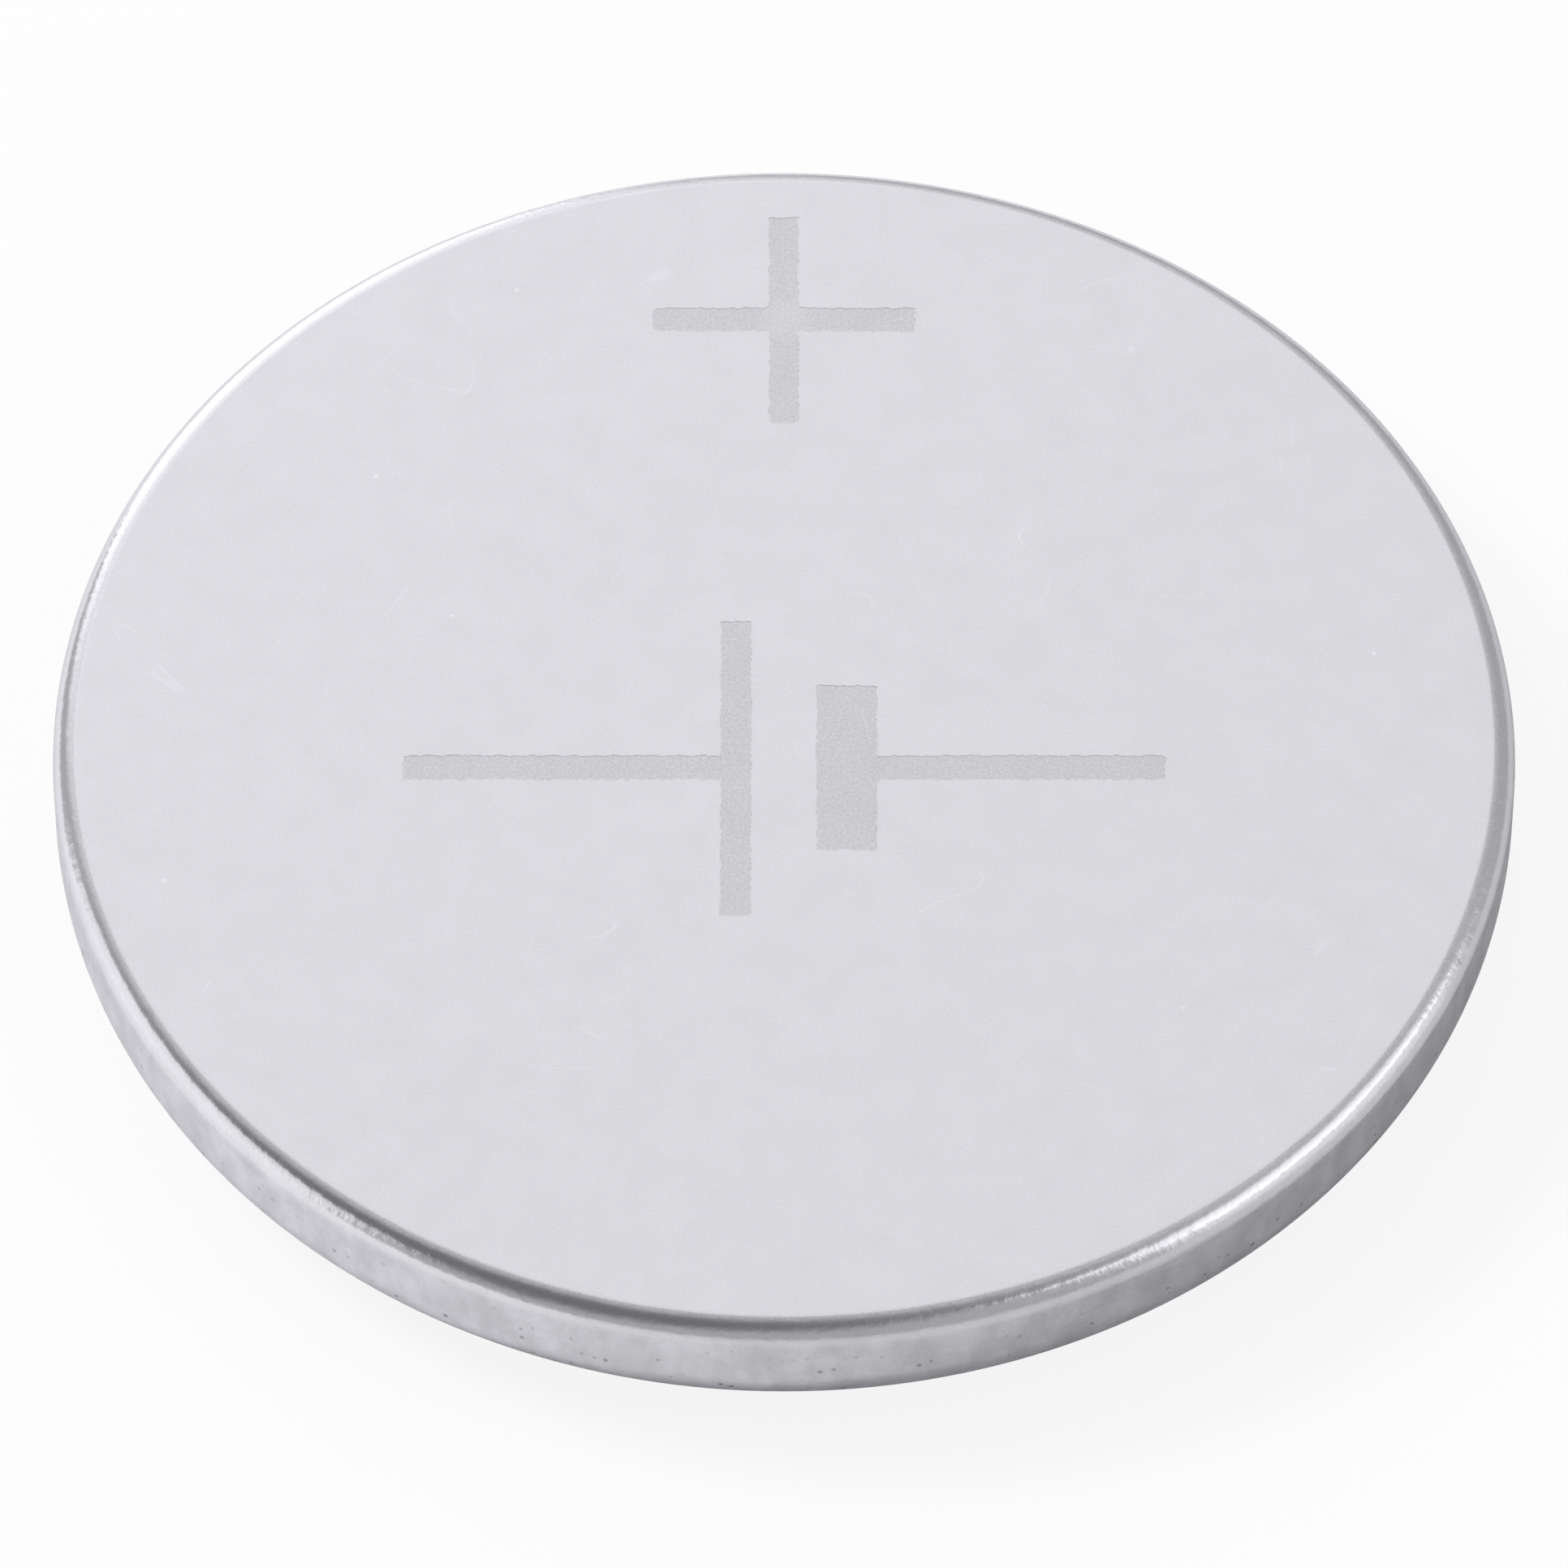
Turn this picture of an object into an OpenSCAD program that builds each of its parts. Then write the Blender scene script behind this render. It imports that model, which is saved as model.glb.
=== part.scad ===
// Lithium coin cell, 20 mm across and 2.5 mm high.
// The origin is the centre of the negative face, the axis is Z, and the
// positive face points up. Every ring-shaped piece is a section revolved
// about Z, drawn with x as the radius and y as the height.

/* [Cell] */
// Diameter over the wall of the can
cell_d = 20; // [18:0.1:24]
// Height over the two flat faces
cell_h = 2.5; // [2.4:0.05:3.2]

/* [Positive can] */
// Sheet thickness of the can
can_t = 0.25; // [0.2:0.01:0.28]
// Outside radius between the positive face and the wall
can_edge_r = 0.33; // [0.3:0.01:0.5]
// Height above the negative face at which the wall starts to curl in
curl_z = 1.45; // [1.4:0.01:1.5]
// Outside radius of the curl
curl_r = 0.9; // [0.85:0.01:1]
// Height of the curled edge above the negative face
lip_z = 0.12; // [0.08:0.01:0.16]

/* [Gasket] */
// Thickness of the gasket between the can and the cap
gasket_t = 0.3; // [0.26:0.01:0.34]
// Thickness of the gasket under the rim of the cap
gasket_base_t = 0.3; // [0.25:0.01:0.4]
// Thickness of the gasket inside the rim of the cap
gasket_inner_t = 0.3; // [0.25:0.01:0.4]
// Gap from the bend of the cap up to the gasket inside its rim
gasket_inner_gap = 0.05; // [0:0.01:0.15]
// How far the bare end of the gasket sits behind the curled edge
gasket_sunk = 0.2; // [0.1:0.01:0.3]

/* [Negative cap] */
// Sheet thickness of the cap
cap_t = 0.25; // [0.2:0.01:0.26]
// Height above the negative face at which the shoulder meets the side
cap_root_z = 0.45; // [0.4:0.01:0.55]
// Outside radius between the negative face and the side of the cap
cap_edge_r = 0.28; // [0.26:0.01:0.3]
// Radius at the root of the shoulder, on the gasket side
cap_root_r = 0.15; // [0.12:0.01:0.18]

/* [Lithium anode] */
// Thickness of the lithium disc
lithium_t = 0.45; // [0.35:0.01:0.55]
// Gap from the edge of the lithium disc to the flat of the cap
lithium_gap = 0.2; // [0.1:0.01:0.4]

/* [Separator] */
// Thickness of the separator
separator_t = 0.2; // [0.16:0.01:0.25]
// Height of the turned-up edge of the separator around the pellet
separator_skirt_h = 0.6; // [0.4:0.01:0.85]
// Outside radius at the fold of the separator
separator_fold_r = 0.26; // [0.26:0.01:0.32]

/* [Cathode pellet] */
// Gap between the turned-up separator and the side of the cap
stack_gap = 0.05; // [0.02:0.01:0.1]
// Chamfer on both edges of the pellet
pellet_chamfer = 0.12; // [0.05:0.01:0.2]

/* [Collector mesh] */
// Thickness of the collector mesh
mesh_t = 0.1; // [0.08:0.01:0.14]
// How far the mesh stops short of the edge of the pellet
mesh_inset = 0.6; // [0.3:0.05:1]
// Width of the solid rim around the mesh
mesh_rim_w = 0.35; // [0.25:0.05:0.5]
// Long pitch of the diamond openings
mesh_long = 2; // [1.8:0.1:2.4]
// Short pitch of the diamond openings
mesh_short = 1.2; // [1.1:0.05:1.5]
// Width of the strands between the openings
mesh_strand_w = 0.22; // [0.18:0.01:0.3]

/* [Hidden] */
$fn = 128;
// Largest turn between two points of a bend, in degrees
bend_step = 9;
// The wall is curled until the lip rises 3 for every 4 outward
curl_turn = atan2(4, 3);

cell_r = cell_d / 2;
// The curls of the can, the gasket and the cap share one centre
curl_centre = [cell_r - curl_r, curl_z];
// Directions from that centre: level at the wall, and square to the lip
curl_from = 0;
curl_to = -curl_turn;
// How far each layer lies inside the outer surface of the can
in_can = can_t;
in_gasket = in_can + gasket_t;
in_cap = in_gasket + cap_t;
// Length of the straight lip after the curl, which ends at lip_z
lip_len = (curl_z - curl_r * sin(curl_turn) - lip_z) / cos(curl_turn);

can_floor_z = cell_h - can_t;
can_edge_centre = [cell_r - can_edge_r, cell_h - can_edge_r];
rim_z = can_floor_z - gasket_base_t;
gasket_inner_r = cell_r - in_cap - gasket_inner_t;

// The shoulder runs from the end of the curl down to its root, and the bend
// there takes root_setback off both the shoulder and the side
shoulder_top = curl_end(in_gasket);
shoulder_len = (shoulder_top[1] - cap_root_z) / cos(curl_turn);
root_setback = cap_root_r * tan(curl_turn / 2);
cap_side_r = shoulder_top[0] - shoulder_len * sin(curl_turn);
cap_bore_r = cap_side_r - cap_t;
cap_flat_r = cap_side_r - cap_edge_r;
cap_edge_centre = [cap_flat_r, cap_edge_r];
root_centre = [cap_side_r + cap_root_r, cap_root_z - root_setback];

lithium_r = cap_flat_r - lithium_gap;
separator_z = cap_t + lithium_t;
separator_r = cap_bore_r - stack_gap;
pellet_r = separator_r - separator_t;
pellet_z = separator_z + separator_t;
fold_centre = [separator_r - separator_fold_r, separator_z + separator_fold_r];
mesh_z = can_floor_z - mesh_t;
mesh_r = pellet_r - mesh_inset;

function direction(angle) = [cos(angle), sin(angle)];

// Points round a bend from one direction to another. Where a radius comes to
// nothing, the two straight sides meet in a sharp corner.
function bend(centre, r, from, to) = let (steps = ceil(abs(to - from) / bend_step))
    r > 0
        ? [for (i = [0:steps]) centre + r * direction(from + (to - from) * i / steps)]
        : [centre + r * direction(from) + r * tan((to - from) / 2) * direction(from + 90)];

// End of the curl on the layer that lies inset from the outside of the can
function curl_end(inset) = curl_centre + (curl_r - inset) * direction(curl_to);

// Point on the straight lip of that layer, at a distance past the curl
function lip_point(inset, past_curl) = curl_end(inset)
    - past_curl * [sin(curl_turn), cos(curl_turn)];

// The can is one deep-drawn cup, with its mouth curled in over the gasket
module can_section() {
    polygon(concat(
        [[0, cell_h]],
        bend(can_edge_centre, can_edge_r, 90, 0),
        bend(curl_centre, curl_r, curl_from, curl_to),
        [lip_point(0, lip_len)],
        [lip_point(in_can, lip_len)],
        bend(curl_centre, curl_r - in_can, curl_to, curl_from),
        bend(can_edge_centre, can_edge_r - can_t, 0, 90),
        [[0, can_floor_z]]
    ));
}

// The gasket is moulded with a groove for the rim of the cap. The curl of
// the can presses its outer lip over the shoulder of the cap.
module gasket_section() {
    lip = lip_len - gasket_sunk;
    inner_bottom = curl_z + gasket_inner_gap;
    polygon(concat(
        [[gasket_inner_r, can_floor_z]],
        bend(can_edge_centre, can_edge_r - can_t, 90, 0),
        bend(curl_centre, curl_r - in_can, curl_from, curl_to),
        [lip_point(in_can, lip)],
        [lip_point(in_gasket, lip)],
        bend(curl_centre, curl_r - in_gasket, curl_to, curl_from),
        [[cell_r - in_gasket, rim_z]],
        [[cell_r - in_cap, rim_z]],
        [[cell_r - in_cap, inner_bottom]],
        [[gasket_inner_r, inner_bottom]]
    ));
}

// The cap is one pressed dish: the flat face, a short side, a shoulder under
// the curl of the can, and a wide rim that stands in the gasket
module cap_section() {
    shoulder_from = 180 - curl_turn;
    polygon(concat(
        [[0, 0]],
        bend(cap_edge_centre, cap_edge_r, -90, 0),
        bend(root_centre, cap_root_r, 180, shoulder_from),
        bend(curl_centre, curl_r - in_gasket, curl_to, curl_from),
        [[cell_r - in_gasket, rim_z]],
        [[cell_r - in_cap, rim_z]],
        bend(curl_centre, curl_r - in_cap, curl_from, curl_to),
        bend(root_centre, cap_root_r + cap_t, shoulder_from, 180),
        bend(cap_edge_centre, cap_edge_r - cap_t, 0, -90),
        [[0, cap_t]]
    ));
}

// The separator is a thin disc with its edge turned up around the pellet
module separator_section() {
    skirt_top = pellet_z + separator_skirt_h;
    polygon(concat(
        [[0, separator_z]],
        bend(fold_centre, separator_fold_r, -90, 0),
        [[separator_r, skirt_top]],
        [[pellet_r, skirt_top]],
        bend(fold_centre, separator_fold_r - separator_t, 0, -90),
        [[0, pellet_z]]
    ));
}

module positive_can() {
    color([0.87, 0.87, 0.89]) rotate_extrude() can_section();
}

module negative_cap() {
    color([0.82, 0.82, 0.84]) rotate_extrude() cap_section();
}

module gasket() {
    color([0.93, 0.93, 0.9]) rotate_extrude() gasket_section();
}

module cathode_pellet() {
    c = pellet_chamfer;
    h = mesh_z - pellet_z;
    color([0.1, 0.1, 0.11]) translate([0, 0, pellet_z]) {
        cylinder(h = c, r1 = pellet_r - c, r2 = pellet_r);
        translate([0, 0, c]) cylinder(h = h - 2 * c, r = pellet_r);
        translate([0, 0, h - c]) cylinder(h = c, r1 = pellet_r, r2 = pellet_r - c);
    }
}

module diamond() {
    // The strands keep their width square to the slanted sides
    slant = norm([mesh_long, mesh_short]) / 2;
    a = mesh_long / 2 - mesh_strand_w * slant / mesh_short;
    b = mesh_short / 2 - mesh_strand_w * slant / mesh_long;
    polygon([[a, 0], [0, b], [-a, 0], [0, -b]]);
}

module collector_mesh() {
    open_r = mesh_r - mesh_rim_w;
    columns = ceil(open_r / mesh_long * 2);
    rows = ceil(open_r / mesh_short * 2);
    color([0.7, 0.7, 0.72]) translate([0, 0, mesh_z]) linear_extrude(mesh_t)
        difference() {
            circle(mesh_r);
            for (i = [-columns:columns], j = [-rows:rows]) {
                x = i * mesh_long / 2;
                y = j * mesh_short / 2;
                reach = norm([abs(x) + mesh_long / 4, abs(y) + mesh_short / 4]);
                if ((i + j) % 2 == 0 && reach < open_r)
                    translate([x, y]) diamond();
            }
        }
}

module separator() {
    color([0.96, 0.96, 0.94]) rotate_extrude() separator_section();
}

module lithium_anode() {
    color([0.75, 0.76, 0.78]) translate([0, 0, cap_t])
        cylinder(h = lithium_t, r = lithium_r);
}

positive_can();
negative_cap();
gasket();
cathode_pellet();
collector_mesh();
separator();
lithium_anode();
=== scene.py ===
import math

import bmesh
import bpy
from mathutils import Matrix, Vector


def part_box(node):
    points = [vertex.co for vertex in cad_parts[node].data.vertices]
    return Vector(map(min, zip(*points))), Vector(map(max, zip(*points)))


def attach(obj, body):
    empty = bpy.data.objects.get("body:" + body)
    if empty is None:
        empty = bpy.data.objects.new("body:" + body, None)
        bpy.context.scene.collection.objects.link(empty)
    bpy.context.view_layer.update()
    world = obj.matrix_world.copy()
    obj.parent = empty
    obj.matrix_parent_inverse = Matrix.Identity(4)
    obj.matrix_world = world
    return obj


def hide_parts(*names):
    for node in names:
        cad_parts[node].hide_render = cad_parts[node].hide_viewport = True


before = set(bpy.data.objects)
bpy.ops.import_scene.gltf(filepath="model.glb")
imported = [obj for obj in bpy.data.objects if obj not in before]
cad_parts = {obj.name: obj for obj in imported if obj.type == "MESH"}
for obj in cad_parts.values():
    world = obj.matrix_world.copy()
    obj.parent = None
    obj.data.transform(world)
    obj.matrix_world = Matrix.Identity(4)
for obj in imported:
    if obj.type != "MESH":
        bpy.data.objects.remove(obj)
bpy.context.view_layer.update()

scene = bpy.context.scene
scene.view_settings.view_transform = "Standard"
MM = 0.001


# The camera stands off the near side and looks down on the positive face. It
# is far away for its size, so the far rim is hardly smaller than the near one.
IMAGE_SIDE = 1932
CAMERA_AZIMUTH = -90
CAMERA_ELEVATION = 53.3
CAMERA_DISTANCE = 208 * MM
FOCAL_PIXELS = 18800
SENSOR_WIDTH = 36
AIM = Vector((0, -0.88 * MM, 2.5 * MM))


def towards(azimuth, elevation):
    """Unit vector at an angle round from +X and an angle up, in degrees."""
    a, e = math.radians(azimuth), math.radians(elevation)
    return Vector((math.cos(a) * math.cos(e), math.sin(a) * math.cos(e), math.sin(e)))


camera_data = bpy.data.cameras.new("camera")
camera_data.sensor_width = SENSOR_WIDTH
camera_data.lens = FOCAL_PIXELS * SENSOR_WIDTH / IMAGE_SIDE
camera_data.clip_start = 10 * MM
camera = bpy.data.objects.new("camera", camera_data)
out = towards(CAMERA_AZIMUTH, CAMERA_ELEVATION)
camera.location = AIM + CAMERA_DISTANCE * out
camera.rotation_euler = out.to_track_quat("Z", "Y").to_euler()
scene.collection.objects.link(camera)
scene.camera = camera


# The room is a plain white studio that looks grey in the steel, because its
# walls stand back from the lamps. A black flag hangs over the left of the
# cell and draws the dark line along its rounded edge.
WHITE = (1, 1, 1, 1)
ROOM_LEVEL = 0.46
FLAG_LEVEL = 0.18
FILL_LEVEL = 0.45
FLAG_AZIMUTH = -140
FLAG_ELEVATION = 65
FLAG_CORE = math.radians(18)
FLAG_REACH = math.radians(50)


def node(tree, kind, inputs=None, **settings):
    """Adds a node. Each of its inputs is given a value, or the socket that feeds it."""
    made = tree.nodes.new(kind)
    for key, value in settings.items():
        setattr(made, key, value)
    for key, value in (inputs or {}).items():
        if isinstance(value, bpy.types.NodeSocket):
            tree.links.new(value, made.inputs[key])
        else:
            made.inputs[key].default_value = value
    return made


def calc(tree, operation, a, b=0.0, c=0.0):
    return node(tree, "ShaderNodeMath", {0: a, 1: b, 2: c}, operation=operation).outputs[0]


def between(tree, share, a, b):
    """A number between a and b."""
    return node(tree, "ShaderNodeMix", {0: share, 2: a, 3: b}).outputs[0]


def ramp(tree, value, low, high, at_low=0.0, at_high=1.0):
    """Goes smoothly from at_low to at_high as the value goes from low to high."""
    return node(tree, "ShaderNodeMapRange", {
        "Value": value,
        "From Min": low,
        "From Max": high,
        "To Min": at_low,
        "To Max": at_high,
    }, interpolation_type="SMOOTHSTEP").outputs["Result"]


room = bpy.data.worlds.new("room")
room.use_nodes = True
tree = room.node_tree
tree.nodes.clear()
path = node(tree, "ShaderNodeLightPath").outputs
way = node(tree, "ShaderNodeTexCoord").outputs["Generated"]
flag = towards(FLAG_AZIMUTH, FLAG_ELEVATION)
to_flag = node(tree, "ShaderNodeVectorMath", {0: way, 1: flag}, operation="DOT_PRODUCT").outputs["Value"]
mirrored = ramp(tree, to_flag, math.cos(FLAG_REACH), math.cos(FLAG_CORE), ROOM_LEVEL, FLAG_LEVEL)
in_mirror = calc(tree, "MAXIMUM", path["Is Glossy Ray"], path["Is Transmission Ray"])
seen = between(tree, in_mirror, FILL_LEVEL, mirrored)
dim = node(tree, "ShaderNodeBackground", {"Color": seen}).outputs[0]
white = node(tree, "ShaderNodeBackground", {"Color": WHITE}).outputs[0]
shown = node(tree, "ShaderNodeMixShader", {0: path["Is Camera Ray"], 1: dim, 2: white}).outputs[0]
node(tree, "ShaderNodeOutputWorld", {"Surface": shown})
scene.world = room


# Soft boxes stand round the cell. One behind lights the face, and four draw
# the bright lines along the edge. The key light throws the shadow, and the
# steel doesn't show it.
def soft_box(name, azimuth, elevation, distance, width, height, radiance, in_steel=True):
    """A lamp that faces the cell, with the radiance of its sheet."""
    lamp_data = bpy.data.lights.new(name, "AREA")
    lamp_data.shape = "RECTANGLE"
    lamp_data.size = width
    lamp_data.size_y = height
    lamp_data.energy = radiance * math.pi * width * height
    lamp = bpy.data.objects.new(name, lamp_data)
    out = towards(azimuth, elevation)
    lamp.location = distance * out
    lamp.rotation_euler = out.to_track_quat("Z", "Y").to_euler()
    lamp.visible_camera = False
    lamp.visible_glossy = in_steel
    scene.collection.objects.link(lamp)


KEY_SIDE = 0.12
soft_box("key_box", 160, 48, distance=0.40, width=KEY_SIDE, height=KEY_SIDE, radiance=17, in_steel=False)
soft_box("face_box", 93, 55, distance=0.42, width=0.30, height=0.39, radiance=0.50)
soft_box("back_box", 112, 21, distance=0.30, width=0.15, height=0.22, radiance=1.4)
soft_box("left_box", 185, 16, distance=0.30, width=0.31, height=0.26, radiance=0.6)
soft_box("right_box", -12, 44, distance=0.36, width=0.30, height=0.22, radiance=0.75)
soft_box("right_low_box", -14, 18, distance=0.36, width=0.34, height=0.26, radiance=0.45)


# The table is white paper. The camera sees it nearly as bright as the room,
# with a trace of the shadow that the cell throws on it. The steel sees a
# painted pool of light on it, brighter towards the back left.
TABLE_SIDE = 3.0
TABLE_Z = -0.005 * MM
OPENING_R = 7.9 * MM
LIT_OPENING_R = 9.1 * MM
PAPER = 0.85
CAMERA_SHARE = 0.86
POOL_AZIMUTH = 155
POOL_START = -12 * MM
POOL_END = 8 * MM
POOL_DIM = 0.68
POOL_BRIGHT = 0.95

half = TABLE_SIDE / 2
table_data = bpy.data.meshes.new("table")
table_data.from_pydata(
    [(x, y, TABLE_Z) for x, y in ((-half, -half), (half, -half), (half, half), (-half, half))],
    [],
    [(0, 1, 2, 3)],
)
table = bpy.data.objects.new("table", table_data)
scene.collection.objects.link(table)
paper = bpy.data.materials.new("white_paper")
paper.use_nodes = True
tree = paper.node_tree
tree.nodes.clear()
path = node(tree, "ShaderNodeLightPath").outputs
place = node(tree, "ShaderNodeTexCoord").outputs["Object"]
to_pool = node(tree, "ShaderNodeVectorMath", {
    0: place,
    1: towards(POOL_AZIMUTH, 0),
}, operation="DOT_PRODUCT").outputs["Value"]
# The pool is painted light: in the steel the paper is dimmer on one side and brighter towards the back
# left
painted_pool = ramp(tree, to_pool, POOL_START, POOL_END, POOL_DIM, POOL_BRIGHT)
in_mirror = calc(tree, "MAXIMUM", path["Is Glossy Ray"], path["Is Transmission Ray"])
lightness = between(tree, in_mirror, PAPER, painted_pool)
lit = node(tree, "ShaderNodeBsdfDiffuse", {"Color": lightness}).outputs[0]
white = node(tree, "ShaderNodeEmission", {"Color": WHITE}).outputs[0]
share = calc(tree, "MULTIPLY", path["Is Camera Ray"], CAMERA_SHARE)
shown = node(tree, "ShaderNodeMixShader", {0: share, 1: lit, 2: white}).outputs[0]

# The table is open under the contact face and clear from below, so that a
# view from there shows the underside. For light on the closure, the opening
# is wider than the camera sees it.
radius = node(tree, "ShaderNodeVectorMath", {0: place}, operation="LENGTH").outputs["Value"]
opening_r = between(tree, path["Is Camera Ray"], LIT_OPENING_R, OPENING_R)
opening = calc(tree, "LESS_THAN", radius, opening_r)
clear = calc(tree, "MAXIMUM", opening, node(tree, "ShaderNodeNewGeometry").outputs["Backfacing"])
gone = node(tree, "ShaderNodeBsdfTransparent").outputs[0]
shown = node(tree, "ShaderNodeMixShader", {0: clear, 1: shown, 2: gone}).outputs[0]
node(tree, "ShaderNodeOutputMaterial", {"Surface": shown})
table_data.materials.append(paper)


# The positive can: a cup deep drawn from bright stainless strip. Its flat
# face has a fine satin grain, its wall shows the drag of the die and small
# pits, and its mouth is curled in over the gasket.
CAN_EDGE_R = 0.33 * MM
CURL_Z = 1.45 * MM
CURL_R = 0.9 * MM
CURL_TURN = math.atan2(4, 3)
CAN_BURR_R = 0.03 * MM
SPIN_STEPS = 256
HOLD = 0.02 * MM
RING_GAP = 0.8 * MM
WELD = 0.0001 * MM
SHARP = math.radians(28)
MICRON = 0.001 * MM

can_low, can_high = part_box("positive_can")
cap_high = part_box("negative_cap")[1]
gasket_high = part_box("gasket")[1]
cell_r = can_high.x
cell_h = can_high.z
lip_z = can_low.z
in_can = cell_h - gasket_high.z
in_gasket = cell_r - cap_high.x
rim_z = cap_high.z


# A corner of a section, at a radius and a height, with the radius of its
# bend and the number of points round it
def corner(x, z, bend=0.0, points=8):
    return (x, z, max(bend, 0.0), points)


def curl_corner(inset, points=14):
    """Where the wall and the lip would meet, for the layer that lies inset from the outside."""
    bend = CURL_R - inset
    return corner(cell_r - inset, CURL_Z - bend * math.tan(CURL_TURN / 2), bend, points)


def on_lip(inset, z, bend=0.0):
    """The corner at a height on the straight lip of that layer."""
    curl_end = CURL_R - inset
    x = cell_r - CURL_R + curl_end * math.cos(CURL_TURN)
    drop = CURL_Z - curl_end * math.sin(CURL_TURN) - z
    return corner(x - drop * math.tan(CURL_TURN), z, bend)


def across_lip(point, thickness, bend=0.0):
    """The corner on the other side of a lip, square to it."""
    x = point[0] - thickness * math.cos(CURL_TURN)
    return corner(x, point[1] + thickness * math.sin(CURL_TURN), bend)


def held(section, closed):
    """The section with a point on the straight at both ends of each bend, to keep the flats flat."""
    points = []
    for i, (x, z, bend, count) in enumerate(section):
        if bend == 0 or (not closed and i in (0, len(section) - 1)):
            points.append(section[i])
            continue
        here = Vector((x, z))
        before = Vector(section[i - 1][:2]) - here
        after = Vector(section[(i + 1) % len(section)][:2]) - here
        reach = bend / math.tan(before.angle(after) / 2) + HOLD
        points.append(corner(*(here + reach * before.normalized())))
        points.append(section[i])
        points.append(corner(*(here + reach * after.normalized())))
    return points


def ringed(points):
    """The points of a section with more of them on its flats, so that no face is a long sliver."""
    filled = [points[0]]
    for start, end in zip(points, points[1:]):
        flat = Vector(end[:2]) - Vector(start[:2])
        parts = math.ceil(flat.length / RING_GAP)
        for i in range(1, parts):
            filled.append(corner(*(Vector(start[:2]) + flat * i / parts)))
        filled.append(end)
    return filled


def new_group(name, kind, inputs, outputs):
    """An empty node group with its sockets, and the sockets' inner ends."""
    tree = bpy.data.node_groups.new(name, kind)
    for in_out, sockets in (("INPUT", inputs), ("OUTPUT", outputs)):
        for socket, socket_type in sockets.items():
            tree.interface.new_socket(socket, in_out=in_out, socket_type="NodeSocket" + socket_type)
    return tree, tree.nodes.new("NodeGroupInput").outputs, tree.nodes.new("NodeGroupOutput").inputs


# The tree that spins a section into a piece: it rounds the corners, lays the
# points out as a grid of columns, turns each column to its angle and welds
# the seam and the poles.
spinning, given, made = new_group(
    "spun_section",
    "GeometryNodeTree",
    {"Section": "Geometry", "Columns": "Int", "Weld": "Float", "Finish": "Material"},
    {"Piece": "Geometry"},
)
bend = node(spinning, "GeometryNodeInputNamedAttribute", {"Name": "bend"}, data_type="FLOAT")
count = node(spinning, "GeometryNodeInputNamedAttribute", {"Name": "points"}, data_type="INT")
line = node(spinning, "GeometryNodeMeshToCurve", {"Mesh": given["Section"]})
rounded = node(spinning, "GeometryNodeFilletCurve", {
    "Curve": line.outputs[0],
    "Radius": bend.outputs[0],
    "Count": count.outputs[0],
}, mode="POLY").outputs[0]
per_column = node(
    spinning, "GeometryNodeAttributeDomainSize", {"Geometry": rounded}, component="CURVE"
).outputs["Point Count"]
grid = node(spinning, "GeometryNodeMeshGrid", {
    "Vertices X": calc(spinning, "ADD", given["Columns"], 1),
    "Vertices Y": per_column,
}).outputs["Mesh"]
index = node(spinning, "GeometryNodeInputIndex").outputs[0]
column = calc(spinning, "FLOOR", calc(spinning, "DIVIDE", index, per_column))
angle = calc(spinning, "MULTIPLY", calc(spinning, "DIVIDE", column, given["Columns"]), math.tau)
profile_point = node(spinning, "GeometryNodeSampleIndex", {
    "Geometry": rounded,
    "Value": node(spinning, "GeometryNodeInputPosition").outputs[0],
    "Index": calc(spinning, "MODULO", index, per_column),
}, data_type="FLOAT_VECTOR").outputs[0]
turned = node(spinning, "ShaderNodeVectorRotate", {
    "Vector": profile_point,
    "Angle": angle,
}, rotation_type="Z_AXIS").outputs[0]
spun = node(spinning, "GeometryNodeSetPosition", {"Geometry": grid, "Position": turned}).outputs[0]
welded = node(spinning, "GeometryNodeMergeByDistance", {
    "Geometry": spun,
    "Distance": given["Weld"],
}).outputs[0]
smooth = node(spinning, "GeometryNodeSetShadeSmooth", {"Geometry": welded}).outputs[0]
real = node(spinning, "GeometryNodeRealizeInstances", {"Geometry": smooth}).outputs[0]
coated = node(spinning, "GeometryNodeSetMaterial", {
    "Geometry": real,
    "Material": given["Finish"],
}).outputs[0]
spinning.links.new(coated, made["Piece"])


def grow(piece, tree, values):
    """Puts a tree on an object and sets the tree's inputs."""
    modifier = piece.modifiers.new(tree.name, "NODES")
    modifier.node_group = tree
    for socket in tree.interface.items_tree:
        if socket.name in values:
            modifier[socket.identifier] = values[socket.name]


def settle(piece):
    """Makes the modifiers' result the object's own mesh, faces outwards and sharp edges marked."""
    shape = piece.evaluated_get(bpy.context.evaluated_depsgraph_get())
    mesh = bpy.data.meshes.new_from_object(shape)
    piece.modifiers.clear()
    piece.data = mesh
    work = bmesh.new()
    work.from_mesh(mesh)
    bmesh.ops.recalc_face_normals(work, faces=work.faces)
    for edge in work.edges:
        edge.smooth = edge.calc_face_angle(math.pi) < SHARP
    work.to_mesh(mesh)
    work.free()


def spin(name, section, finish, closed=False):
    """A piece spun from its section. An open section starts and ends on the axis."""
    points = held(section, closed)
    if closed:
        points.append(points[0])
    points = ringed(points)
    line = bpy.data.meshes.new(name)
    line.from_pydata(
        [(x, 0, z) for x, z, bend, count in points],
        [(i, i + 1) for i in range(len(points) - 1)],
        [],
    )
    bends = line.attributes.new("bend", "FLOAT", "POINT")
    counts = line.attributes.new("points", "INT", "POINT")
    for i, (x, z, bend, count) in enumerate(points):
        bends.data[i].value = bend
        counts.data[i].value = count
    piece = bpy.data.objects.new(name, line)
    scene.collection.objects.link(piece)
    grow(piece, spinning, {"Columns": SPIN_STEPS, "Weld": WELD, "Finish": finish})
    settle(piece)
    return piece


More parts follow.
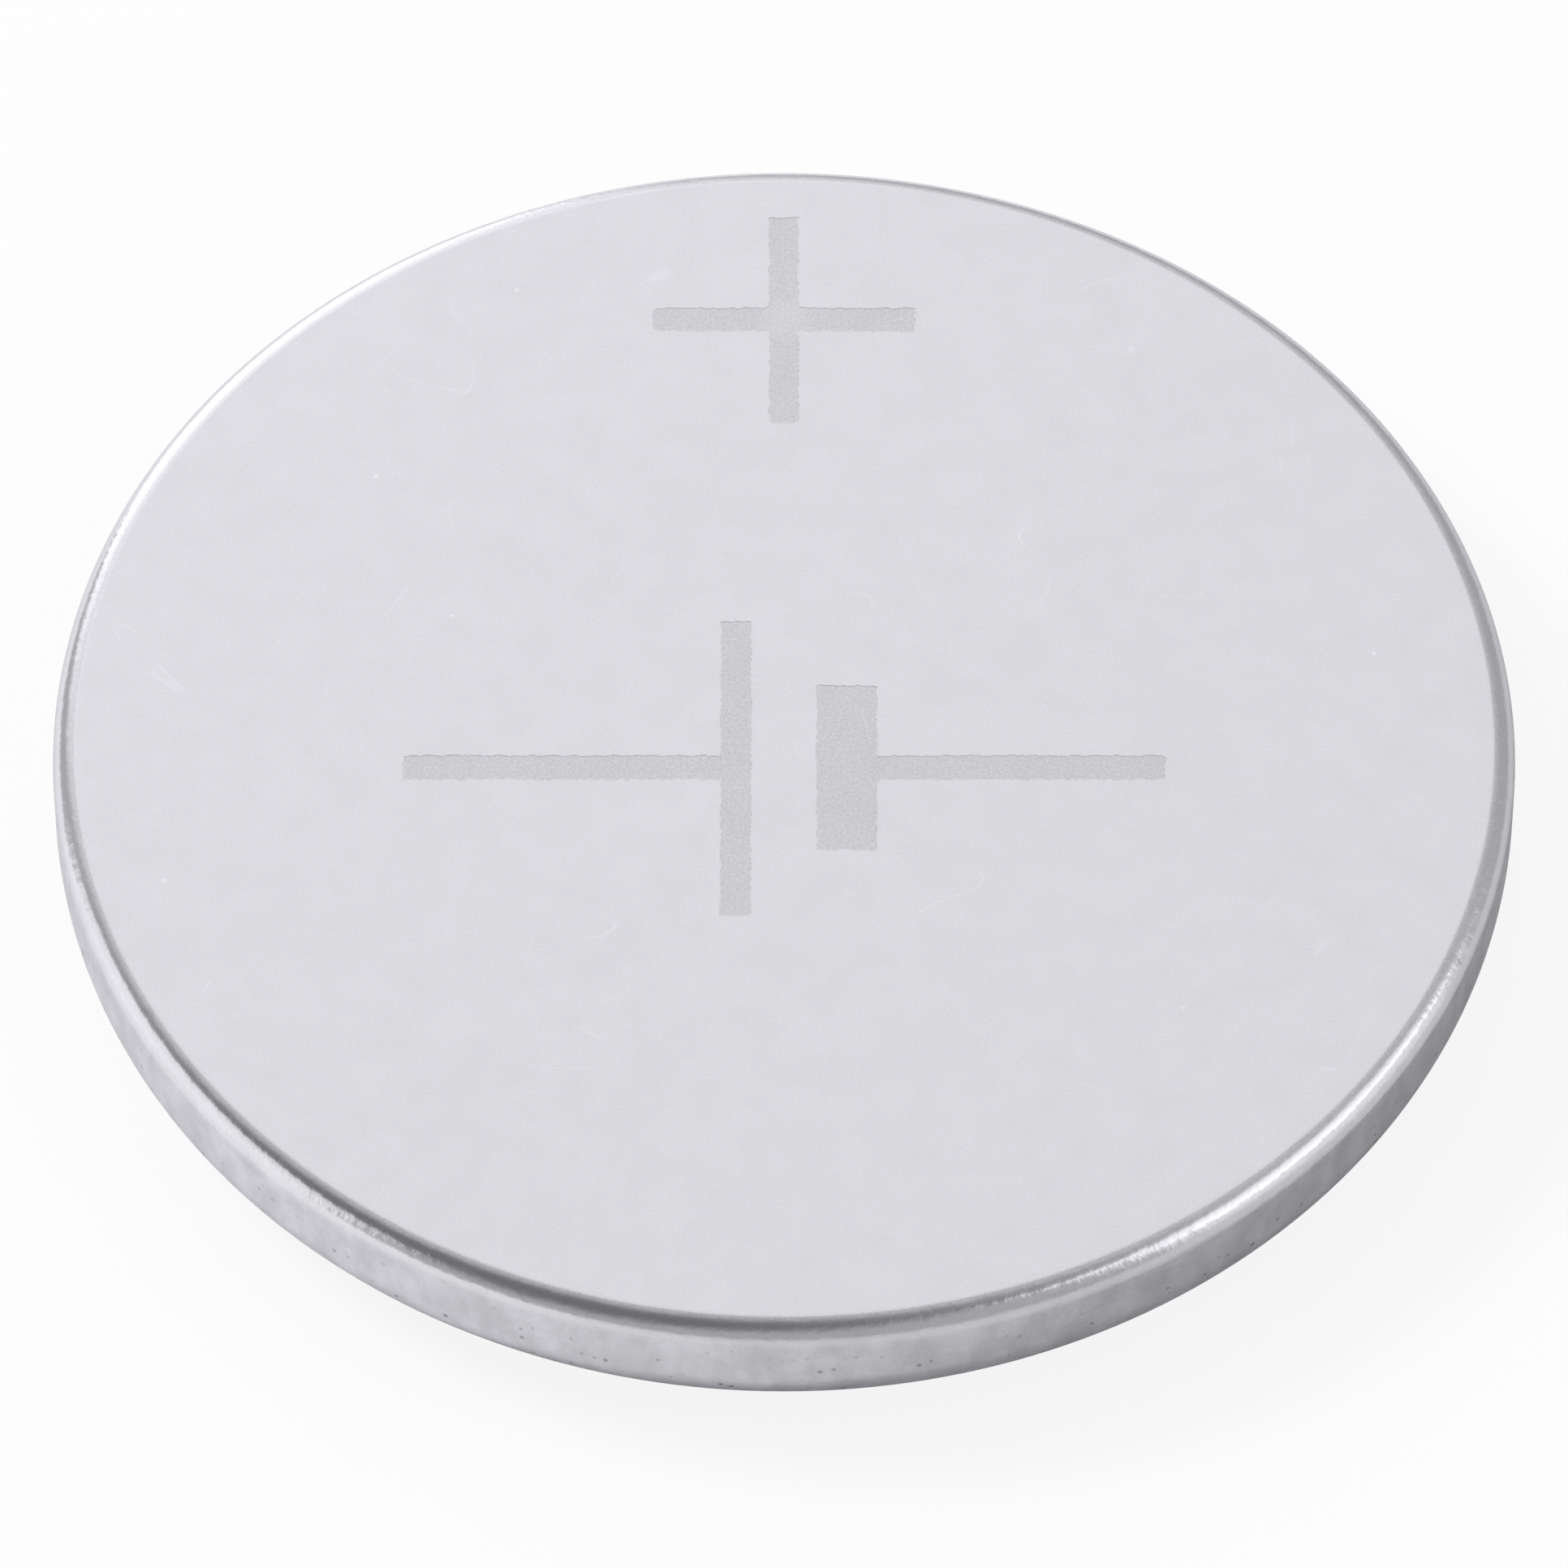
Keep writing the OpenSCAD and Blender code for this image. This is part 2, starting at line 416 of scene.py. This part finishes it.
# A noise mostly stays within the first of these ranges. Clouds take the
# second, so that they reach their full strength more often.
NOISE_RANGE = (0.3, 0.7)
CLOUD_RANGE = (0.35, 0.65)

# Fine grain, as tumbling leaves it on steel and moulding on plastic, and the
# slow cloudiness over it
satin, given, made = new_group(
    "satin_grain",
    "ShaderNodeTree",
    {"Vector": "Vector", "Grain Scale": "Float", "Cloud Scale": "Float"},
    {"Grain": "Float", "Cloud": "Float"},
)
for scale, detail, result in (("Grain Scale", 3, "Grain"), ("Cloud Scale", 4, "Cloud")):
    noise = node(satin, "ShaderNodeTexNoise", {
        "Vector": given["Vector"],
        "Scale": given[scale],
        "Detail": detail,
    })
    satin.links.new(noise.outputs["Fac"], made[result])

# Hairlines that break off and start again, and sparse specks: scratches and
# pits on metal, fibres in felt. A hairline runs where a slow noise passes
# its middle.
HAIR_WAVES = 1.5
HAIR_BENDS = 0.6
BREAKS_PER_WAVE = 3.7
BREAK_RANGE = (0.54, 0.62)
BARE_SHARE = 0.72
marks, given, made = new_group(
    "hairlines_and_specks",
    "ShaderNodeTree",
    {
        "Vector": "Vector",
        "Hair Scale": "Float",
        "Hair Width": "Float",
        "Speck Scale": "Float",
        "Speck Size": "Float",
    },
    {"Hairlines": "Float", "Specks": "Float"},
)
slow = node(marks, "ShaderNodeTexNoise", {
    "Vector": given["Vector"],
    "Scale": given["Hair Scale"],
    "Detail": HAIR_WAVES,
    "Distortion": HAIR_BENDS,
}).outputs["Fac"]
off_middle = calc(marks, "ABSOLUTE", calc(marks, "SUBTRACT", slow, 0.5))
breaks = node(marks, "ShaderNodeTexNoise", {
    "Vector": given["Vector"],
    "Scale": calc(marks, "MULTIPLY", given["Hair Scale"], BREAKS_PER_WAVE),
}).outputs["Fac"]
thread = ramp(marks, off_middle, 0, given["Hair Width"], 1, 0)
hair = calc(marks, "MULTIPLY", thread, ramp(marks, breaks, *BREAK_RANGE))
marks.links.new(hair, made["Hairlines"])
cells = node(marks, "ShaderNodeTexVoronoi", {
    "Vector": given["Vector"],
    "Scale": given["Speck Scale"],
}).outputs
chance = node(marks, "ShaderNodeSeparateXYZ", {0: cells["Color"]}).outputs[0]
kept = calc(marks, "GREATER_THAN", chance, BARE_SHARE)
half_size = calc(marks, "MULTIPLY", given["Speck Size"], 0.5)
speck = ramp(marks, cells["Distance"], half_size, given["Speck Size"], 1, 0)
marks.links.new(calc(marks, "MULTIPLY", speck, kept), made["Specks"])


def new_finish(name):
    """A material, its tree, its shader's inputs and the place on the piece."""
    finish = bpy.data.materials.new(name)
    finish.use_nodes = True
    tree = finish.node_tree
    place = node(tree, "ShaderNodeTexCoord").outputs["Object"]
    return finish, tree, tree.nodes["Principled BSDF"].inputs, place


def grain_on(tree, place, grain_scale, cloud_scale):
    """Grain and clouds, with their scales in features for each metre."""
    return node(tree, "ShaderNodeGroup", {
        "Vector": place,
        "Grain Scale": grain_scale,
        "Cloud Scale": cloud_scale,
    }, node_tree=satin).outputs


def marks_on(tree, place, hair_scale=1000, hair_width=0.002, speck_scale=1000, speck_size=0.05):
    """Hairlines and specks. A finish that uses only one of the two gives that one's numbers."""
    return node(tree, "ShaderNodeGroup", {
        "Vector": place,
        "Hair Scale": hair_scale,
        "Hair Width": hair_width,
        "Speck Scale": speck_scale,
        "Speck Size": speck_size,
    }, node_tree=marks).outputs


def stretched(tree, place, x=1, y=1, z=1):
    """The place with an axis scaled down, so that a pattern runs along it."""
    return node(tree, "ShaderNodeVectorMath", {0: place, 1: (x, y, z)}, operation="MULTIPLY").outputs[0]


def blend(tree, share, a, b):
    """A colour between a and b."""
    return node(tree, "ShaderNodeMix", {0: share, 6: a, 7: b}, data_type="RGBA").outputs[2]


def shade(tree, colour, factor):
    """A colour made lighter or darker by a factor."""
    return node(tree, "ShaderNodeVectorMath", {
        0: colour[:3],
        "Scale": factor,
    }, operation="SCALE").outputs[0]


def raise_by(tree, shader, microns):
    """Gives a surface relief, from heights in microns."""
    bump = node(tree, "ShaderNodeBump", {"Distance": MICRON, "Height": microns})
    tree.links.new(bump.outputs["Normal"], shader["Normal"])


CAN_STEEL = (0.757, 0.75, 0.795, 1)
GRAZED_STEEL = (0.80, 0.80, 0.82, 1)
PAINTED_PIT_SHADE = (0.26, 0.255, 0.27, 1)
FACE_ROUGHNESS = 0.28
EDGE_ROUGHNESS = 0.23
WALL_ROUGHNESS = 0.32
GRAIN_SHADES = (0.97, 1.02)
FACE_CLOUDS = (1.008, 0.986)
WALL_PATCHES = (1.03, 0.92)
DRAG_SHADES = (0.92, 1.04)
NICK_GLINT = 0.14
HAIRLINE_GLINT = 0.055
DRAG_SCALE = 3200
DENT_SCALE = 9000
PIT_GROUPS = (0.39, 0.49)
PITS_START = (0.5 * MM, 1.0 * MM)
PITS_THIN_OUT = (1.1 * MM, 2.0 * MM)
PIT_MICRONS = 6
DENT_MICRONS = 5
DRAG_MICRONS = 9
GRAIN_MICRONS = 0.35
ETCH_MICRONS = 1.4
ETCH_DEPTH = 0.004 * MM
ETCH_ROUGHNESS = 0.36
ETCH_SHADE = 0.885
ETCH_RANGE = (0.25, 0.75)
ETCH_MOTTLE = (ETCH_SHADE - 0.05, ETCH_SHADE + 0.05)
PLUS_CENTRE = Vector((0, 7.2 * MM))
CROSSING_REACH = (0.15 * MM, 0.5 * MM)
CROSSING_GLINT = 0.05

can_steel, tree, shader, place = new_finish("grained_can_steel")
height = node(tree, "ShaderNodeSeparateXYZ", {0: place}).outputs["Z"]
flat = stretched(tree, place, z=0)
radius = node(tree, "ShaderNodeVectorMath", {0: flat}, operation="LENGTH").outputs["Value"]
face = ramp(tree, radius, cell_r - 0.85 * CAN_EDGE_R, cell_r - 0.4 * CAN_EDGE_R, 1, 0)
wall = ramp(tree, height, cell_h - 1.4 * CAN_EDGE_R, cell_h - 0.25 * CAN_EDGE_R, 1, 0)
low_wall = ramp(tree, height, *PITS_THIN_OUT, 1, 0.2)
low_wall = calc(tree, "MULTIPLY", low_wall, ramp(tree, height, *PITS_START))
etched = ramp(tree, height, cell_h - 0.8 * ETCH_DEPTH, cell_h - 0.2 * ETCH_DEPTH, 1, 0)
etched = calc(tree, "MULTIPLY", etched, face)
grained = grain_on(tree, place, grain_scale=26000, cloud_scale=1700)
handled = marks_on(tree, place, hair_scale=260, hair_width=0.0032, speck_scale=1100, speck_size=0.05)

# The pits lie in groups on the lower part of the wall. They are dents in
# the relief, and their darkness is painted shade.
pitted = marks_on(tree, place, speck_scale=6000, speck_size=0.28)
groups = calc(tree, "MULTIPLY", low_wall, ramp(tree, grained["Cloud"], *PIT_GROUPS))
pits = calc(tree, "MULTIPLY", calc(tree, "MULTIPLY", pitted["Specks"], wall), groups)

# The die leaves short upright marks and the tumbler small dents
drag = node(tree, "ShaderNodeTexNoise", {
    "Vector": stretched(tree, place, z=0.4),
    "Scale": DRAG_SCALE,
    "Detail": 3,
}).outputs["Fac"]
tumbled = node(tree, "ShaderNodeTexNoise", {
    "Vector": place,
    "Scale": DENT_SCALE,
    "Detail": 2,
}).outputs["Fac"]

# Nicks and hairlines are shown only as painted glints, lighter than the steel
# round them. The wall is more clouded than the face.
lightness = ramp(tree, grained["Grain"], *NOISE_RANGE, *GRAIN_SHADES)
lightness = calc(tree, "MULTIPLY_ADD", handled["Specks"], NICK_GLINT, lightness)
lightness = calc(tree, "MULTIPLY_ADD", handled["Hairlines"], HAIRLINE_GLINT, lightness)
clouds = ramp(tree, grained["Cloud"], *CLOUD_RANGE, *FACE_CLOUDS)
patches = ramp(tree, grained["Cloud"], *CLOUD_RANGE, *WALL_PATCHES)
patches = calc(tree, "MULTIPLY", patches, ramp(tree, drag, *NOISE_RANGE, *DRAG_SHADES))
lightness = calc(tree, "MULTIPLY", lightness, between(tree, wall, clouds, patches))

# Where the strokes of the plus cross, the metal is burnt twice, and a painted glint makes it lighter
from_crossing = node(tree, "ShaderNodeVectorMath", {
    0: flat,
    1: (*PLUS_CENTRE, 0),
}, operation="DISTANCE").outputs["Value"]
painted_crossing_glint = ramp(tree, from_crossing, *CROSSING_REACH, CROSSING_GLINT, 0)
mottle = ramp(tree, grained["Grain"], *ETCH_RANGE, *ETCH_MOTTLE)
mottle = calc(tree, "ADD", mottle, painted_crossing_glint)
lightness = calc(tree, "MULTIPLY", lightness, between(tree, etched, 1.0, mottle))
# The pits are darkened with painted shade
colour = blend(tree, pits, shade(tree, CAN_STEEL, lightness), PAINTED_PIT_SHADE)
tree.links.new(colour, shader["Base Color"])
shader["Metallic"].default_value = 1
shader["Specular Tint"].default_value = GRAZED_STEEL
rough = between(tree, wall, EDGE_ROUGHNESS, WALL_ROUGHNESS)
rough = between(tree, face, rough, FACE_ROUGHNESS)
rough = between(tree, etched, rough, ETCH_ROUGHNESS)
tree.links.new(rough, shader["Roughness"])

# Heights of the relief: grain everywhere, deeper where it is etched, and the
# marks of making on the wall and the bends
grain_microns = between(tree, etched, GRAIN_MICRONS, ETCH_MICRONS)
relief = calc(tree, "MULTIPLY", grained["Grain"], grain_microns)
dents = calc(tree, "MULTIPLY", tumbled, DENT_MICRONS)
dents = calc(tree, "MULTIPLY_ADD", drag, DRAG_MICRONS, dents)
dents = calc(tree, "MULTIPLY", calc(tree, "SUBTRACT", 1, face), dents)
relief = calc(tree, "ADD", relief, dents)
relief = calc(tree, "MULTIPLY_ADD", pits, -PIT_MICRONS, relief)
raise_by(tree, shader, relief)

lip = on_lip(0, lip_z, CAN_BURR_R)
can = spin("drawn_can", [
    corner(0, cell_h),
    corner(cell_r, cell_h, CAN_EDGE_R, points=14),
    curl_corner(0, points=16),
    lip,
    across_lip(lip, in_can, CAN_BURR_R),
    curl_corner(in_can),
    corner(cell_r - in_can, cell_h - in_can, CAN_EDGE_R - in_can),
    corner(0, cell_h - in_can),
], can_steel)


# The plus sign is burnt into the face by a laser, pulse beside pulse, so it
# is a shallow matt recess with ragged edges.
PULSE_GAP = 0.045 * MM
PULSE_WANDER = 0.020 * MM
PULSE_SEED = 7
PLUS_SPAN = 3.65 * MM
PLUS_STROKE = 0.41 * MM

burning, given, made = new_group(
    "burnt_sign",
    "GeometryNodeTree",
    {
        "Outline": "Geometry",
        "Pulse Gap": "Float",
        "Wander": "Float",
        "Seed": "Int",
        "Height": "Float",
        "Weld": "Float",
        "Finish": "Material",
    },
    {"Cutter": "Geometry"},
)
line = node(burning, "GeometryNodeMeshToCurve", {"Mesh": given["Outline"]}).outputs[0]
pulses = node(burning, "GeometryNodeResampleCurve", {
    "Curve": line,
    "Length": given["Pulse Gap"],
}, mode="LENGTH").outputs[0]
most = node(burning, "ShaderNodeCombineXYZ", {0: given["Wander"], 1: given["Wander"]}).outputs[0]
least = node(burning, "ShaderNodeVectorMath", {0: most, "Scale": -1.0}, operation="SCALE").outputs[0]
stray = node(burning, "FunctionNodeRandomValue", {
    0: least,
    1: most,
    "Seed": given["Seed"],
}, data_type="FLOAT_VECTOR").outputs[0]
ragged = node(burning, "GeometryNodeSetPosition", {"Geometry": pulses, "Offset": stray}).outputs[0]
bottom = node(burning, "GeometryNodeFillCurve", {"Curve": ragged}, mode="NGONS").outputs[0]
raised = node(burning, "GeometryNodeExtrudeMesh", {
    "Mesh": bottom,
    "Offset Scale": given["Height"],
    "Individual": False,
}).outputs[0]
under = node(burning, "GeometryNodeFlipFaces", {"Mesh": bottom}).outputs[0]
both = node(burning, "GeometryNodeJoinGeometry")
burning.links.new(raised, both.inputs[0])
burning.links.new(under, both.inputs[0])
welded = node(burning, "GeometryNodeMergeByDistance", {
    "Geometry": both.outputs[0],
    "Distance": given["Weld"],
}).outputs[0]
real = node(burning, "GeometryNodeRealizeInstances", {"Geometry": welded}).outputs[0]
coated = node(burning, "GeometryNodeSetMaterial", {
    "Geometry": real,
    "Material": given["Finish"],
}).outputs[0]
burning.links.new(coated, made["Cutter"])


def burn(sign, outline):
    """Cuts a sign into the face of the can from its outline."""
    count = len(outline)
    line = bpy.data.meshes.new(sign)
    line.from_pydata(
        [(x, y, 0) for x, y in outline],
        [(i, (i + 1) % count) for i in range(count)],
        [],
    )
    cutter = bpy.data.objects.new(sign, line)
    cutter.location.z = cell_h - ETCH_DEPTH
    scene.collection.objects.link(cutter)
    grow(cutter, burning, {
        "Pulse Gap": PULSE_GAP,
        "Wander": PULSE_WANDER,
        "Seed": PULSE_SEED,
        "Height": 3 * ETCH_DEPTH,
        "Weld": WELD,
        "Finish": can_steel,
    })
    cut = can.modifiers.new(sign, "BOOLEAN")
    cut.operation = "DIFFERENCE"
    cut.solver = "EXACT"
    cut.object = cutter
    settle(can)
    bpy.data.objects.remove(cutter)


# One arm of the plus, turned to the four sides
arm = [
    Vector((PLUS_STROKE / 2, PLUS_STROKE / 2)),
    Vector((PLUS_SPAN / 2, PLUS_STROKE / 2)),
    Vector((PLUS_SPAN / 2, -PLUS_STROKE / 2)),
]
quarters = [Matrix.Rotation(-turn * math.pi / 2, 2) for turn in range(4)]
burn("plus_sign", [PLUS_CENTRE + quarter @ point for quarter in quarters for point in arm])

# In the middle of the face stands the plain circuit symbol of a cell: a long
# thin plate and a short thick one, each with its lead.
SYMBOL_CENTRE = Vector((0, -0.6 * MM))
SYMBOL_SPAN = 10.4 * MM
SYMBOL_GAP = 0.9 * MM
LONG_PLATE = 5.0 * MM
SHORT_PLATE = 2.8 * MM


def burn_plate(sign, side, thickness, length):
    """One plate and its lead, on the left side (-1) or the right side (1) of the gap."""
    inner = side * SYMBOL_GAP / 2
    outer = inner + side * thickness
    end = side * SYMBOL_SPAN / 2
    half_lead = PLUS_STROKE / 2
    upper = [(inner, length / 2), (outer, length / 2), (outer, half_lead), (end, half_lead)]
    lower = [(x, -y) for x, y in reversed(upper)]
    burn(sign, [SYMBOL_CENTRE + Vector(point) for point in upper + lower])


burn_plate("long_plate", side=-1, thickness=PLUS_STROKE, length=LONG_PLATE)
burn_plate("short_plate", side=1, thickness=2 * PLUS_STROKE, length=SHORT_PLATE)

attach(can, "root")
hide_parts("positive_can")


# The collector: a disc of steel slit and pulled into diamonds, which is spot
# welded to the floor of the can. Pulling leaves the strands lined, and a
# painted glint brightens them along the lines.
MESH_STEEL = (0.60, 0.60, 0.615, 1)
MESH_CLOUDS = (0.8, 1.0)
MESH_ROUGHNESS = (0.25, 0.42)
STRAND_GLINT = 0.2
STRAND_MICRONS = 2.0

mesh_steel, tree, shader, place = new_finish("expanded_steel")
grained = grain_on(tree, place, grain_scale=20000, cloud_scale=700)
pulled = node(tree, "ShaderNodeTexNoise", {
    "Vector": stretched(tree, place, x=0.15),
    "Scale": 9000,
    "Detail": 3,
}).outputs["Fac"]
lightness = ramp(tree, grained["Cloud"], *CLOUD_RANGE, *MESH_CLOUDS)
# A painted glint along the pulled lines
lightness = calc(tree, "MULTIPLY_ADD", pulled, STRAND_GLINT, lightness)
tree.links.new(shade(tree, MESH_STEEL, lightness), shader["Base Color"])
shader["Metallic"].default_value = 1
tree.links.new(ramp(tree, pulled, *NOISE_RANGE, *MESH_ROUGHNESS), shader["Roughness"])
raise_by(tree, shader, calc(tree, "MULTIPLY_ADD", pulled, STRAND_MICRONS, grained["Grain"]))


def dress(name, finish):
    """Gives a piece of the frame its finish."""
    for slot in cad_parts[name].material_slots:
        slot.material = finish


dress("collector_mesh", mesh_steel)


# The cathode: a tablet pressed from black manganese dioxide powder, with
# graphite in it that shows as small grey flakes.
PELLET_BLACK = (0.026, 0.026, 0.028, 1)
GRAPHITE = (0.15, 0.15, 0.155, 1)
POWDER_SHADES = (0.7, 1.5)
POWDER_CLOUDS = (0.85, 1.1)
POWDER_ROUGHNESS = 0.85
FLAKE_ROUGHNESS = 0.4
POWDER_MICRONS = 8
CRACK_MICRONS = 10

powder, tree, shader, place = new_finish("pressed_powder")
grained = grain_on(tree, place, grain_scale=12000, cloud_scale=900)
flaked = marks_on(tree, place, hair_scale=700, hair_width=0.004, speck_scale=7000, speck_size=0.28)
lightness = ramp(tree, grained["Grain"], *NOISE_RANGE, *POWDER_SHADES)
clouds = ramp(tree, grained["Cloud"], *CLOUD_RANGE, *POWDER_CLOUDS)
lightness = calc(tree, "MULTIPLY", lightness, clouds)
colour = blend(tree, flaked["Specks"], shade(tree, PELLET_BLACK, lightness), GRAPHITE)
tree.links.new(colour, shader["Base Color"])
rough = between(tree, flaked["Specks"], POWDER_ROUGHNESS, FLAKE_ROUGHNESS)
tree.links.new(rough, shader["Roughness"])
relief = calc(tree, "MULTIPLY", grained["Grain"], POWDER_MICRONS)
relief = calc(tree, "MULTIPLY_ADD", flaked["Hairlines"], -CRACK_MICRONS, relief)
raise_by(tree, shader, relief)
dress("cathode_pellet", powder)


# The separator: white felt of fine polypropylene fibres, pressed to a disc
# with its edge turned up round the tablet.
FELT_WHITE = (0.88, 0.88, 0.86, 1)
FELT_GAP = (0.70, 0.70, 0.68, 1)
FELT_ROUGHNESS = (0.8, 0.95)
FIBRE_TURNS = {0: 1900, 50: 2300, 115: 2700}
FIBRE_WIDTH = 0.03
FIBRE_STRETCH = 0.35
FIBRE_MICRONS = 12
LUMP_MICRONS = 20

felt, tree, shader, place = new_finish("pressed_felt")
grained = grain_on(tree, place, grain_scale=15000, cloud_scale=500)

# Three layers of fibres, each turned by an angle and with a scale of its own
fibres = 0.0
for turn, scale in FIBRE_TURNS.items():
    mapped = node(tree, "ShaderNodeMapping", {
        "Vector": place,
        "Rotation": (0, 0, math.radians(turn)),
        "Scale": (FIBRE_STRETCH, 1, 1),
    }).outputs[0]
    layer = marks_on(tree, mapped, hair_scale=scale, hair_width=FIBRE_WIDTH)["Hairlines"]
    fibres = calc(tree, "MAXIMUM", fibres, layer)
tree.links.new(blend(tree, fibres, FELT_GAP, FELT_WHITE), shader["Base Color"])
tree.links.new(ramp(tree, grained["Grain"], *NOISE_RANGE, *FELT_ROUGHNESS), shader["Roughness"])
relief = calc(tree, "MULTIPLY", grained["Cloud"], LUMP_MICRONS)
relief = calc(tree, "MULTIPLY_ADD", fibres, FIBRE_MICRONS, relief)
raise_by(tree, shader, relief)
dress("separator", felt)


# The negative cap: a dish pressed from the same strip as the can. Its flat
# face is the contact, so it carries more scratches than the rest.
CAP_ROOT_Z = 0.45 * MM
CAP_EDGE_R = 0.28 * MM
CAP_ROOT_R = 0.15 * MM
CAP_STEEL = (0.71, 0.705, 0.74, 1)
CAP_SHADES = (0.96, 1.02)
CAP_CLOUDS = (0.95, 1.01)
CAP_ROUGHNESS = (0.30, 0.38)
CAP_GRAIN_MICRONS = 0.8
SCUFF_SHADE = 0.2
SCRATCH_MICRONS = 3

cap_steel, tree, shader, place = new_finish("pressed_cap_steel")
grained = grain_on(tree, place, grain_scale=22000, cloud_scale=350)
handled = marks_on(tree, place, hair_scale=380, hair_width=0.005, speck_scale=1500, speck_size=0.05)
lightness = ramp(tree, grained["Grain"], *NOISE_RANGE, *CAP_SHADES)
clouds = ramp(tree, grained["Cloud"], *CLOUD_RANGE, *CAP_CLOUDS)
lightness = calc(tree, "MULTIPLY", lightness, clouds)
lightness = calc(tree, "MULTIPLY_ADD", handled["Specks"], -SCUFF_SHADE, lightness)
tree.links.new(shade(tree, CAP_STEEL, lightness), shader["Base Color"])
shader["Metallic"].default_value = 1
tree.links.new(ramp(tree, grained["Cloud"], *NOISE_RANGE, *CAP_ROUGHNESS), shader["Roughness"])
relief = calc(tree, "MULTIPLY", grained["Grain"], CAP_GRAIN_MICRONS)
relief = calc(tree, "MULTIPLY_ADD", handled["Hairlines"], -SCRATCH_MICRONS, relief)
raise_by(tree, shader, relief)

cap_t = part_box("lithium_anode")[0].z
in_cap = in_gasket + cap_t
root = on_lip(in_gasket, CAP_ROOT_Z, CAP_ROOT_R)
cap_side_r = root[0]
cap = spin("pressed_cap", [
    corner(0, 0),
    corner(cap_side_r, 0, CAP_EDGE_R, points=12),
    root,
    curl_corner(in_gasket),
    corner(cell_r - in_gasket, rim_z),
    corner(cell_r - in_cap, rim_z),
    curl_corner(in_cap),
    corner(cap_side_r - cap_t, CAP_ROOT_Z + cap_t * math.tan(CURL_TURN / 2), CAP_ROOT_R + cap_t),
    corner(cap_side_r - cap_t, cap_t, CAP_EDGE_R - cap_t),
    corner(0, cap_t),
], cap_steel)
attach(cap, "root")
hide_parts("negative_cap")


# The anode: a disc punched from lithium strip and pressed into the cap. It
# is soft, dull and stained, with the lines of the rolls across it.
LITHIUM = (0.55, 0.56, 0.58, 1)
LITHIUM_STAIN = (0.30, 0.30, 0.33, 1)
STAIN_GROUPS = (0.45, 0.65)
STAIN_SHARE = 0.6
ROLLED_SHADES = (0.9, 1.05)
LITHIUM_GROUPS = (0.4, 0.65)
LITHIUM_ROUGHNESS = (0.42, 0.65)
ROLL_MICRONS = 4.0

lithium, tree, shader, place = new_finish("rolled_lithium")
grained = grain_on(tree, place, grain_scale=9000, cloud_scale=300)
rolled = node(tree, "ShaderNodeTexNoise", {
    "Vector": stretched(tree, place, x=0.03),
    "Scale": 5000,
    "Detail": 4,
}).outputs["Fac"]
stain = calc(tree, "MULTIPLY", ramp(tree, grained["Cloud"], *STAIN_GROUPS), STAIN_SHARE)
lightness = ramp(tree, rolled, *NOISE_RANGE, *ROLLED_SHADES)
colour = blend(tree, stain, shade(tree, LITHIUM, lightness), LITHIUM_STAIN)
tree.links.new(colour, shader["Base Color"])
shader["Metallic"].default_value = 1
rough = ramp(tree, grained["Cloud"], *LITHIUM_GROUPS, *LITHIUM_ROUGHNESS)
tree.links.new(rough, shader["Roughness"])
raise_by(tree, shader, calc(tree, "MULTIPLY_ADD", rolled, ROLL_MICRONS, grained["Grain"]))
dress("lithium_anode", lithium)


# The gasket: a ring of natural polypropylene, moulded with a groove for the
# rim of the cap. The curl of the can presses its lip over the shoulder, and
# only the end of that lip shows from below.
GASKET_INNER_T = 0.3 * MM
GASKET_INNER_GAP = 0.05 * MM
GASKET_SUNK = 0.2 * MM
GASKET_END_R = 0.06 * MM
POLYPROPYLENE = (0.83, 0.83, 0.79, 1)
PLASTIC_SHADES = (0.95, 1.02)
PLASTIC_ROUGHNESS = (0.38, 0.5)
PLASTIC_MICRONS = 1.5
GLOW_WEIGHT = 0.5
GLOW_COLOUR = (1.0, 0.95, 0.85)
GLOW_DEPTH = 0.15 * MM
POLYPROPYLENE_IOR = 1.49

plastic, tree, shader, place = new_finish("moulded_polypropylene")
grained = grain_on(tree, place, grain_scale=16000, cloud_scale=600)
lightness = ramp(tree, grained["Cloud"], *CLOUD_RANGE, *PLASTIC_SHADES)
tree.links.new(shade(tree, POLYPROPYLENE, lightness), shader["Base Color"])
tree.links.new(ramp(tree, grained["Grain"], *NOISE_RANGE, *PLASTIC_ROUGHNESS), shader["Roughness"])
shader["Subsurface Weight"].default_value = GLOW_WEIGHT
shader["Subsurface Radius"].default_value = GLOW_COLOUR
shader["Subsurface Scale"].default_value = GLOW_DEPTH
shader["IOR"].default_value = POLYPROPYLENE_IOR
raise_by(tree, shader, calc(tree, "MULTIPLY", grained["Grain"], PLASTIC_MICRONS))

bare_end_z = lip_z + in_can * math.sin(CURL_TURN) + GASKET_SUNK * math.cos(CURL_TURN)
bare_end = on_lip(in_can, bare_end_z, GASKET_END_R)
gasket = spin("moulded_gasket", [
    corner(cell_r - in_cap - GASKET_INNER_T, gasket_high.z),
    corner(cell_r - in_can, gasket_high.z, CAN_EDGE_R - in_can),
    curl_corner(in_can),
    bare_end,
    across_lip(bare_end, in_gasket - in_can, GASKET_END_R),
    curl_corner(in_gasket),
    corner(cell_r - in_gasket, rim_z),
    corner(cell_r - in_cap, rim_z),
    corner(cell_r - in_cap, CURL_Z + GASKET_INNER_GAP),
    corner(cell_r - in_cap - GASKET_INNER_T, CURL_Z + GASKET_INNER_GAP),
], plastic, closed=True)
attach(gasket, "root")
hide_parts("gasket")
